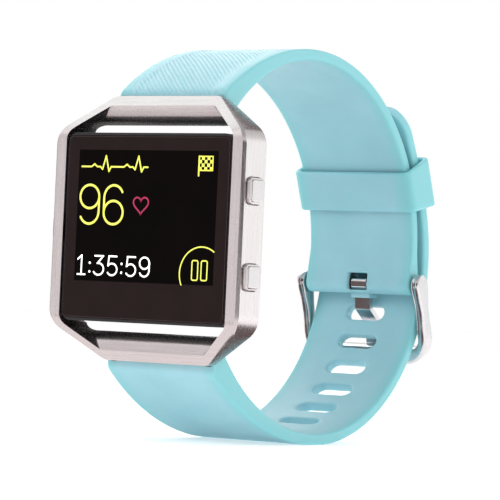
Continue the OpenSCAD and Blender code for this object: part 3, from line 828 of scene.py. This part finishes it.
def make_pulse(name):
    """A pulse trace above the figures."""
    bm = bmesh.new()
    x, z = -16.1, 11.6
    beat = [(0, 0), (2.4, 0), (3.1, 0.5), (3.8, 0), (4.6, 0), (5.1, -0.5), (5.9, 2.1), (6.7, -0.9), (7.2, 0), (8.2, 0)]
    path = [(x + u + 8.0 * k, z + v) for k in range(2) for u, v in (beat if k else beat[:-1])]
    stroke(bm, path, 0.32)
    return finish_mesh(name, bm, merge=1e-8)


def make_flag(name):
    """A small chequered flag."""
    bm = bmesh.new()
    left, right, low, high, bar = 12.35, 15.6, 11.15, 13.8, 0.24
    stroke(bm, [(left, low - 1.0), (left, high)], bar * 1.4)
    for path in ([(left, high), (right, high)], [(left, low), (right, low)], [(right, low), (right, high)]):
        stroke(bm, path, bar)
    columns, rows = 5, 4
    step_x, step_z = (right - left) / columns, (high - low) / rows
    for i in range(columns):
        for j in range(rows):
            if (i + j) % 2:
                continue
            x0, z0 = left + i * step_x, low + j * step_z
            square = [(x0, z0), (x0 + step_x, z0), (x0 + step_x, z0 + step_z), (x0, z0 + step_z)]
            add_plate(bm, square, LIT_Y, INK)
    return finish_mesh(name, bm, merge=1e-8)


def make_pause(name):
    """Two outlined bars within part of a circle."""
    bm = bmesh.new()
    for x0 in (11.75, 13.95):
        outline = round_rect(1.4, 3.7, 0.35)
        stroke(bm, [(x0 + 0.7 + x, -7.7 + z) for x, z in outline + outline[:1]], 0.26)
    stroke(bm, curve_points((13.95, -8.35), 5.1, 5.1, 56, 205, 48), 0.26)
    return finish_mesh(name, bm, merge=1e-8)


def make_glass_edge(name):
    """The polished chamfer round the cover glass."""
    rows = []
    for inset, y in ((0.24, GLASS_Y - 0.01), (0.12, 0.19), (-0.01, 0.33), (-0.01, 0.5), (0.24, 0.5)):
        rows.append([at(x, y, z) for x, z in round_rect(39.3 - 2 * inset, 35.3 - 2 * inset, 1.1 - inset)])
    bm = bmesh.new()
    add_grid(bm, rows, closed_rows=True, closed_columns=True)
    return finish_mesh(name, bm)


def make_lit_area(name):
    """The display's own rectangle, darker than the glass round it."""
    bm = bmesh.new()
    half_w, half_h, up = 33.73 / 2, 25.3 / 2, 2.2
    outline = [(-half_w, up - half_h), (half_w, up - half_h), (half_w, up + half_h), (-half_w, up + half_h)]
    add_plate(bm, outline, GLASS_Y - 0.01, 0.03)
    return finish_mesh(name, bm, merge=1e-8)


def make_heart(name, x, z, size, pen):
    """An outlined heart."""
    path = []
    for k in range(49):
        t = 2 * math.pi * k / 48
        path.append((x + size / 2 * math.sin(t) ** 3,
                     z + size / 32 * (13 * math.cos(t) - 5 * math.cos(2 * t) - 2 * math.cos(3 * t) - math.cos(4 * t))))
    bm = bmesh.new()
    stroke(bm, path, pen)
    return finish_mesh(name, bm, merge=1e-8)


# ---- Materials ----

class Shader:
    """A material's node tree, built step by step."""

    def __init__(self, name):
        self.material = bpy.data.materials.new(name)
        self.material.use_nodes = True
        self.tree = self.material.node_tree
        self.tree.nodes.clear()
        self.surface = self.node("ShaderNodeBsdfPrincipled")
        out = self.node("ShaderNodeOutputMaterial")
        self.link(self.surface.outputs["BSDF"], out.inputs["Surface"])
        self.place = self.node("ShaderNodeTexCoord").outputs["Object"]

    def node(self, kind, **settings):
        made = self.tree.nodes.new(kind)
        for key, value in settings.items():
            setattr(made, key, value)
        return made

    def link(self, a, b):
        self.tree.links.new(a, b)

    def set(self, **values):
        for key, value in values.items():
            self.surface.inputs[key.replace("_", " ").capitalize() if key not in FULL else FULL[key]].default_value = value

    def noise(self, scale, detail=3.0, stretch=(1, 1, 1)):
        """Noise with features about 1/scale metres across, stretched along the axes."""
        mapping = self.node("ShaderNodeMapping")
        mapping.inputs["Scale"].default_value = stretch
        self.link(self.place, mapping.inputs["Vector"])
        made = self.node("ShaderNodeTexNoise")
        made.inputs["Scale"].default_value = scale
        made.inputs["Detail"].default_value = detail
        self.link(mapping.outputs["Vector"], made.inputs["Vector"])
        return made.outputs["Fac"]

    def spread(self, value, low, high, start=0.3, end=0.7):
        """Maps a value from start..end to low..high."""
        made = self.node("ShaderNodeMapRange")
        for key, number in (("From Min", start), ("From Max", end), ("To Min", low), ("To Max", high)):
            made.inputs[key].default_value = number
        self.link(value, made.inputs["Value"])
        return made.outputs["Result"]

    def math(self, kind, value, other=None):
        made = self.node("ShaderNodeMath", operation=kind)
        self.link(value, made.inputs[0])
        if other is not None:
            made.inputs[1].default_value = other
        return made.outputs["Value"]

    def blend(self, factor, first, second):
        """The first value where the factor is 0, and the second where it is 1."""
        made = self.node("ShaderNodeMix")
        for socket, value in (("Factor", factor), ("A", first), ("B", second)):
            self.link(value, made.inputs[socket])
        return made.outputs["Result"]

    def tint(self, value, low, high):
        """A colour from low to high as the value goes from 0 to 1."""
        ramp = self.node("ShaderNodeValToRGB")
        ramp.color_ramp.elements[0].color = (*low, 1)
        ramp.color_ramp.elements[1].color = (*high, 1)
        self.link(value, ramp.inputs["Fac"])
        return ramp.outputs["Color"]

    def paint(self, value, low, high):
        self.link(self.tint(value, low, high), self.surface.inputs["Base Color"])

    def rough(self, value, low, high, start=0.3, end=0.7):
        self.link(self.spread(value, low, high, start, end), self.surface.inputs["Roughness"])

    def bump(self, value, strength, distance):
        made = self.node("ShaderNodeBump")
        made.inputs["Strength"].default_value = strength
        made.inputs["Distance"].default_value = distance
        self.link(value, made.inputs["Height"])
        self.link(made.outputs["Normal"], self.surface.inputs["Normal"])


FULL = {"ior": "IOR", "coat": "Coat Weight", "coat_rough": "Coat Roughness", "sheen": "Sheen Weight",
        "subsurface": "Subsurface Weight", "sub_radius": "Subsurface Radius", "sub_scale": "Subsurface Scale",
        "emission": "Emission Color", "emit": "Emission Strength", "specular": "Specular IOR Level",
        "base": "Base Color", "sheen_rough": "Sheen Roughness"}


def silicone(name, low, high, edge, clear):
    """Soft matte silicone: faint mottling, fine skin, and a painted glow: the colour turns more cyan towards the edges,
    where light would shine through the thin silicone.
    """
    shader = Shader(name)
    shader.set(subsurface=0.4, sub_radius=(0.4, 1.0, 1.1), sub_scale=0.0014, ior=1.42, specular=0.4,
               sheen=0.05, sheen_rough=0.4)
    mottled = shader.tint(shader.spread(shader.noise(90, 4), 0, 1), low, high)
    parts = shader.node("ShaderNodeSeparateXYZ")
    shader.link(shader.place, parts.inputs["Vector"])
    # Painted glow: a cyan tint by distance from the middle stands in for light shining through the thin edges; edge is
    # its colour and clear the band where it fades in.
    edge_glow_mask = shader.spread(shader.math("ABSOLUTE", parts.outputs["X"]), 0, 1, *clear)
    edge_glow_tint = shader.node("ShaderNodeMix", data_type="RGBA")
    shader.link(edge_glow_mask, edge_glow_tint.inputs["Factor"])
    shader.link(mottled, edge_glow_tint.inputs[6])
    edge_glow_tint.inputs[7].default_value = (*edge, 1)
    shader.link(edge_glow_tint.outputs[2], shader.surface.inputs["Base Color"])
    shader.rough(shader.noise(600, 4), 0.42, 0.52)
    shader.bump(shader.noise(5000, 3), 0.08, 0.00003)
    return shader.material


def metal(name, low, high, rough, stretch=(1, 1, 1), grain=0.12, scale=2500):
    """Metal with a fine grain, drawn out along one axis when brushed."""
    shader = Shader(name)
    shader.set(metallic=1.0)
    grains = shader.noise(scale, 4, stretch)
    shader.paint(shader.spread(grains, 0, 1), low, high)
    shader.rough(shader.noise(scale * 0.4, 3, stretch), rough[0], rough[1])
    shader.bump(grains, grain, 0.000004)
    return shader.material


def brushed(name, low, high, rough):
    """Steel brushed along the frame's sides, and across its ends."""
    shader = Shader(name)
    shader.set(metallic=1.0)
    parts = shader.node("ShaderNodeSeparateXYZ")
    shader.link(shader.place, parts.inputs["Vector"])
    off_middle = shader.math("ABSOLUTE", shader.math("SUBTRACT", parts.outputs["Z"], MIDDLE))
    at_end = shader.spread(off_middle, 0, 1, 0.019, 0.022)
    grains = shader.blend(at_end, shader.noise(3000, 3, (1, 1, 0.03)), shader.noise(3000, 3, (0.03, 1, 1)))
    shader.paint(shader.spread(grains, 0, 1), low, high)
    shader.rough(grains, rough[0], rough[1])
    shader.bump(grains, 0.02, 0.000003)
    return shader.material


def plastic(name, low, high, rough, scale=3000, grain=0.1, specular=0.5):
    """Moulded plastic, glass or rubber with a fine texture."""
    shader = Shader(name)
    shader.set(specular=specular)
    shader.paint(shader.spread(shader.noise(scale * 0.2, 3), 0, 1), low, high)
    shader.rough(shader.noise(scale * 0.3, 3), rough[0], rough[1])
    shader.bump(shader.noise(scale, 3), grain, 0.00001)
    return shader.material


def light_ink(name, low, high, strength):
    """A lit shape on the display, with a faint unevenness."""
    shader = Shader(name)
    shader.set(roughness=0.2)
    shader.paint(shader.spread(shader.noise(1500, 2), 0, 1), low, high)
    shader.link(shader.tint(shader.spread(shader.noise(1500, 2), 0, 1), low, high),
                shader.surface.inputs["Emission Color"])
    shader.set(emit=strength)
    return shader.material


BRUSHED = brushed("brushed_steel", (0.70, 0.645, 0.645), (0.78, 0.725, 0.725), (0.22, 0.3))
BUTTON = metal("button_steel", (0.66, 0.62, 0.62), (0.72, 0.68, 0.68), (0.2, 0.25), (1, 1, 1), 0.02)
POLISHED = metal("polished_steel", (0.64, 0.61, 0.62), (0.7, 0.67, 0.68), (0.14, 0.2), (1, 1, 1), 0.01)
SMALL = metal("small_steel", (0.45, 0.45, 0.46), (0.6, 0.6, 0.62), (0.25, 0.35))
# The third colour and the band after it paint a glow of light through the straps' thin edges.
TEAL = silicone("teal_silicone", (0.31, 0.58, 0.65), (0.355, 0.63, 0.70), (0.25, 0.60, 0.635), (0.0098, 0.0132))
FINISHES = {
    "frame_ring": BRUSHED,
    "upper_right_button": BUTTON, "lower_right_button": BUTTON, "left_button": BUTTON,
    "buckle_frame": POLISHED, "buckle_tang": POLISHED,
    "tracker_case": plastic("case_plastic", (0.012, 0.011, 0.012), (0.02, 0.018, 0.018), (0.4, 0.5)),
    "cover_glass": plastic("cover_glass", (0.012, 0.005, 0.005), (0.015, 0.007, 0.007), (0.05, 0.08), 900, 0.01, 0.15),
    "back_cover": plastic("back_plastic", (0.013, 0.013, 0.014), (0.022, 0.021, 0.022), (0.42, 0.52), 4000, 0.2),
    "sensor_window": plastic("sensor_glass", (0.006, 0.006, 0.008), (0.01, 0.01, 0.012), (0.05, 0.09), 900, 0.01),
    "cover_gasket": plastic("gasket", (0.02, 0.02, 0.02), (0.03, 0.03, 0.03), (0.6, 0.7)),
    "display_panel": plastic("display", (0.01, 0.01, 0.012), (0.015, 0.015, 0.018), (0.15, 0.2)),
    "circuit_board": plastic("board", (0.01, 0.06, 0.03), (0.015, 0.09, 0.04), (0.3, 0.4)),
    "battery": plastic("battery_foil", (0.5, 0.5, 0.52), (0.6, 0.6, 0.62), (0.3, 0.4)),
    "charge_contacts": metal("contact_gold", (0.75, 0.55, 0.25), (0.85, 0.66, 0.33), (0.2, 0.3)),
    "sensor_leds": plastic("led", (0.3, 0.6, 0.25), (0.36, 0.7, 0.3), (0.1, 0.2)),
    "photodiode": plastic("diode", (0.01, 0.01, 0.03), (0.02, 0.02, 0.04), (0.1, 0.2)),
}
RUBBER = plastic("key_rubber", (0.01, 0.01, 0.01), (0.02, 0.02, 0.02), (0.6, 0.7))
SWITCH = plastic("switch_body", (0.5, 0.48, 0.42), (0.6, 0.58, 0.5), (0.4, 0.5))


def coat_cad():
    """Gives every CAD node its finish, and softens the edges of the tang, the cover glass, the case and the back cover.
    """
    for name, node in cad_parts.items():
        if name in FINISHES:
            finish = FINISHES[name]
        elif name.endswith("_key") or name == "back_seal":
            finish = RUBBER
        elif name.endswith("_switch"):
            finish = SWITCH
        else:
            finish = SMALL
        for slot in node.material_slots:
            slot.material = finish
    for name, width in (("buckle_tang", 0.25), ("cover_glass", 0.25),
                        ("tracker_case", 0.1), ("back_cover", 0.15)):
        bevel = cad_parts[name].modifiers.new("edges", "BEVEL")
        bevel.width = width * MM
        bevel.segments = 4
        bevel.limit_method = "ANGLE"
        bevel.angle_limit = math.radians(40)
        bevel.harden_normals = True


def dress(piece, finish, body, slot, *replaced):
    """Gives a piece its material and its body, and hides the CAD nodes that it stands for. The slot is not used."""
    piece.data.materials.clear()
    piece.data.materials.append(finish)
    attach(piece, body)
    if replaced:
        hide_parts(*replaced)
    return piece


# ---- Build ----

coat_cad()
dress(make_upper_strap(), TEAL, "frame", "silicone", "upper_strap")
dress(make_lower_strap(), TEAL, "frame", "silicone", "lower_strap")
dress(make_keeper(), TEAL, "keeper", "silicone", "keeper_loop")
YELLOW = light_ink("yellow_light", (0.6, 0.62, 0.09), (0.65, 0.67, 0.1), 0.7)
WHITE = light_ink("white_light", (0.9, 0.9, 0.9), (0.95, 0.95, 0.95), 0.9)
ROSE = light_ink("rose_light", (0.27, 0.01, 0.05), (0.3, 0.015, 0.06), 0.7)
DARK = plastic("display_dark", (0.002, 0.001, 0.001), (0.003, 0.0015, 0.0015), (0.3, 0.4), 900, 0.01, 0.03)
# The glass edge's base colour, much lighter than the cover glass, is a painted highlight along the chamfer, on top of
# its real gloss.
GLASS_EDGE_HIGHLIGHT = plastic("glass_edge", (0.10, 0.08, 0.08), (0.12, 0.10, 0.10), (0.12, 0.16), 900, 0.01, 0.6)
dress(make_frame(), BRUSHED, "frame", "steel", "frame_ring")
dress(make_buckle(), POLISHED, "buckle", "polished_steel", "buckle_frame")
dress(make_glass_edge("cover_glass_edge"), GLASS_EDGE_HIGHLIGHT, "tracker", "cover_glass")
for button in BUTTONS:
    dress(make_button(button), BUTTON, button, "button_steel", button)
for spring, (joint, side, (travel, turns, wire, coil)) in SPRINGS.items():
    piece, centre, half = make_spring(spring, turns, wire * MM, coil * MM)
    dress(piece, SMALL, "frame", "small_steel", spring)
    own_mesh(piece)
for piece, ink in ((make_lit_area("display_area"), DARK), (make_pulse("display_trace"), YELLOW),
                   (make_figures("display_pulse_rate", "96", -16.2, 0.55, 4.7, 7.5, 1.25, 0.46), YELLOW),
                   (make_heart("display_heart", -1.2, 4.45, 3.65, 0.32), ROSE), (make_flag("display_flag"), YELLOW),
                   (make_figures("display_clock", "1:35:59", -16.1, -9.25, 2.35, 3.65, 0.95, 0.32), WHITE),
                   (make_pause("display_pause"), YELLOW)):
    dress(piece, ink, "tracker", "display")

# ---- Stage, lights and camera ----

def add_floor():
    bm = bmesh.new()
    add_grid(bm, [[Vector((x, y, 0.0)) for x in (-3.0, 0.0, 3.0)] for y in (-3.0, 0.0, 3.0)])
    floor = finish_mesh("floor", bm)
    shader = Shader("floor_white")
    shader.set(roughness=0.6)
    shader.paint(shader.spread(shader.noise(20, 2), 0, 1), (0.9, 0.9, 0.9), (0.92, 0.92, 0.92))
    shader.set(emission=(1, 1, 1, 1), emit=0.4)
    floor.data.materials.append(shader.material)


def add_light(name, place, aim, size, power):
    data = bpy.data.lights.new(name, "AREA")
    data.shape = "RECTANGLE"
    data.size, data.size_y = size
    data.energy = power
    light = bpy.data.objects.new(name, data)
    light.location = place
    light.visible_glossy = False
    light.rotation_mode = "QUATERNION"
    light.rotation_quaternion = (Vector(aim) - Vector(place)).to_track_quat("-Z", "Y")
    bpy.context.scene.collection.objects.link(light)


def add_world():
    world = bpy.data.worlds.new("studio")
    bpy.context.scene.world = world
    world.use_nodes = True
    tree = world.node_tree
    background = tree.nodes["Background"]
    direction = tree.nodes.new("ShaderNodeTexCoord")
    parts = tree.nodes.new("ShaderNodeSeparateXYZ")
    ramp = tree.nodes.new("ShaderNodeValToRGB")
    ramp.color_ramp.elements[0].color = (1, 1, 1, 1)
    ramp.color_ramp.elements[0].position = 0.25
    ramp.color_ramp.elements[1].color = (0.45, 0.45, 0.46, 1)
    ramp.color_ramp.elements[1].position = 0.8
    tree.links.new(direction.outputs["Generated"], parts.inputs["Vector"])
    tree.links.new(parts.outputs["Z"], ramp.inputs["Fac"])
    tree.links.new(ramp.outputs["Color"], background.inputs["Color"])
    background.inputs["Strength"].default_value = 1.0


def add_card(name, middle, side, up, colour):
    """A card that only gloss reflects. side and up run from its middle to its edges."""
    bm = bmesh.new()
    add_grid(bm, [[middle - side + up * k, middle + side + up * k] for k in (-1, 1)])
    card = finish_mesh(name, bm)
    shader = Shader(name + "_card")
    shader.set(roughness=1.0, specular=0.0)
    shader.paint(shader.spread(shader.noise(5, 2), 0, 1), (0, 0, 0), (0.001, 0.001, 0.001))
    shader.set(emission=(*colour, 1), emit=1.0)
    card.data.materials.append(shader.material)
    card.visible_camera = False
    card.visible_diffuse = False
    card.visible_shadow = False


def stand_card(name, azimuth, elevation, size, colour):
    """A card 0.8 m from the tracker, facing it: azimuth 0 is in front and 90 to its right."""
    a, e = math.radians(azimuth), math.radians(elevation)
    toward = Vector((math.sin(a) * math.cos(e), -math.cos(a) * math.cos(e), math.sin(e)))
    side = Vector((math.cos(a), math.sin(a), 0))
    middle = Vector((0, 0, MIDDLE)) + toward * 0.8
    add_card(name, middle, side * size[0] / 2, side.cross(toward) * size[1] / 2, colour)


def add_camera():
    """Looks at the loop from 0.6 m in front and to the right, a touch below the tracker's centre."""
    azimuth, elevation, distance, roll = math.radians(38.44), math.radians(-1.26), 600.0, math.radians(2.61)
    back = Vector((math.sin(azimuth) * math.cos(elevation), -math.cos(azimuth) * math.cos(elevation),
                   math.sin(elevation)))
    place = at(*(back * distance))
    aim = at(-2.11, 37.0, -2.75)
    data = bpy.data.cameras.new("camera")
    data.lens = 226.7
    data.clip_start, data.clip_end = 0.01, 10.0
    camera = bpy.data.objects.new("camera", data)
    camera.location = place
    camera.rotation_mode = "QUATERNION"
    camera.rotation_quaternion = (aim - place).to_track_quat("-Z", "Y") @ Quaternion((0, 0, 1), roll)
    bpy.context.scene.collection.objects.link(camera)
    bpy.context.scene.camera = camera


add_floor()
add_world()
CENTRE = (0, 0, 0.04)
add_light("key_left", (-0.45, -0.6, 0.5), CENTRE, (0.5, 0.5), 1.5)
add_light("side_right", (0.6, 0.35, 0.3), CENTRE, (0.4, 0.4), 0.7)
add_light("top", (0, 0.1, 0.8), CENTRE, (0.6, 0.6), 2.35)
stand_card("card_front_left", -38, 8, (0.9, 0.4), (0.74, 0.7, 0.71))
stand_card("card_front_high", -45, 33, (0.7, 0.24), (1.1, 1.06, 1.07))
stand_card("card_front_right", 53, 8, (0.6, 0.33), (0.012, 0.008, 0.008))
stand_card("card_right", 141, 8, (0.7, 0.4), (1.17, 1.22, 1.22))
stand_card("card_high_left", -72, 49, (0.4, 0.4), (1.12, 1.18, 1.18))
stand_card("card_back_left", -118, 38, (0.6, 0.6), (3.1, 3.1, 3.1))
stand_card("card_back_high", -170, 38, (0.35, 0.45), (0.18, 0.13, 0.13))
add_card("card_floor_near", Vector((0, -0.07, 0.0004)), Vector((0.3, 0, 0)), Vector((0, 0.038, 0)), (0.97, 0.91, 0.91))
add_card("card_floor_far", Vector((0, -0.208, 0.0004)), Vector((0.3, 0, 0)), Vector((0, 0.1, 0)), (0.68, 0.63, 0.63))
add_card("card_floor_back", Vector((0, -0.009, 0.0004)), Vector((0.08, 0, 0)), Vector((0, 0.021, 0)), (0.14, 0.1, 0.1))
add_card("card_loop", at(-36, 27, -5), Vector((0, 0.024, 0)), Vector((0, 0, 0.03)), (0.13, 0.1, 0.1))
bpy.context.scene.view_settings.view_transform = "Standard"
add_camera()
